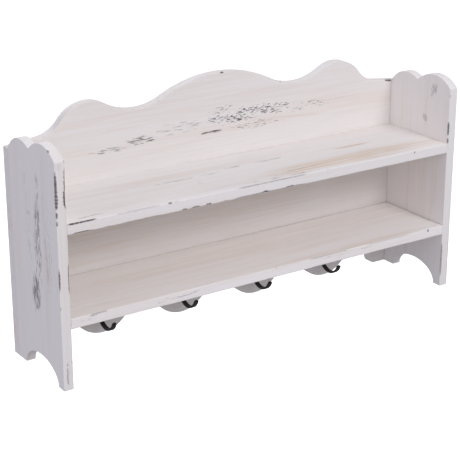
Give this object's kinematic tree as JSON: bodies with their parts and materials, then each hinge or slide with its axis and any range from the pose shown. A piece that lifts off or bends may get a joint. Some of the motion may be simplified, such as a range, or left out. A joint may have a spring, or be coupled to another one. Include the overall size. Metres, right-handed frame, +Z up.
{
  "type": "wall hook rack",
  "caption": "Whitewashed wooden wall rack with a scalloped back board, shaped side panels, shelves for small things and a row of dark metal J hooks underneath.",
  "frame": {"origin": "under the middle of the rack, on the level of its feet, halfway between the front edges of the side panels and the wall side of the back board", "axes": "+X along the shelves towards the right end, +Y towards the wall, +Z up"},
  "size_m": [0.6, 0.134, 0.32],
  "materials": {
    "whitewashed_wood": "matte whitewash",
    "dowel_wood": "bare",
    "hook_metal": "dark bronze, satin",
    "screw_steel": "zinc plated",
    "hanger_steel": "zinc plated"
  },
  "bodies": {
    "root": {"back_board": "whitewashed_wood", "side_panel_left": "whitewashed_wood", "side_panel_right": "whitewashed_wood", "top_shelf": "whitewashed_wood", "lower_shelf": "whitewashed_wood", "top_shelf_dowels_left": "dowel_wood", "top_shelf_dowels_right": "dowel_wood", "lower_shelf_dowels_left": "dowel_wood", "lower_shelf_dowels_right": "dowel_wood", "hook_1": "hook_metal", "hook_2": "hook_metal", "hook_3": "hook_metal", "hook_4": "hook_metal", "hook_screws_1": "hook_metal", "hook_screws_2": "hook_metal", "hook_screws_3": "hook_metal", "hook_screws_4": "hook_metal", "back_screws_left": "screw_steel", "back_screws_right": "screw_steel", "back_screws_top_shelf": "screw_steel", "back_screws_lower_shelf": "screw_steel", "hanger_screws_left": "screw_steel", "hanger_screws_right": "screw_steel", "hanger_plate_left": "hanger_steel", "hanger_plate_right": "hanger_steel"}
  },
  "joints": []
}
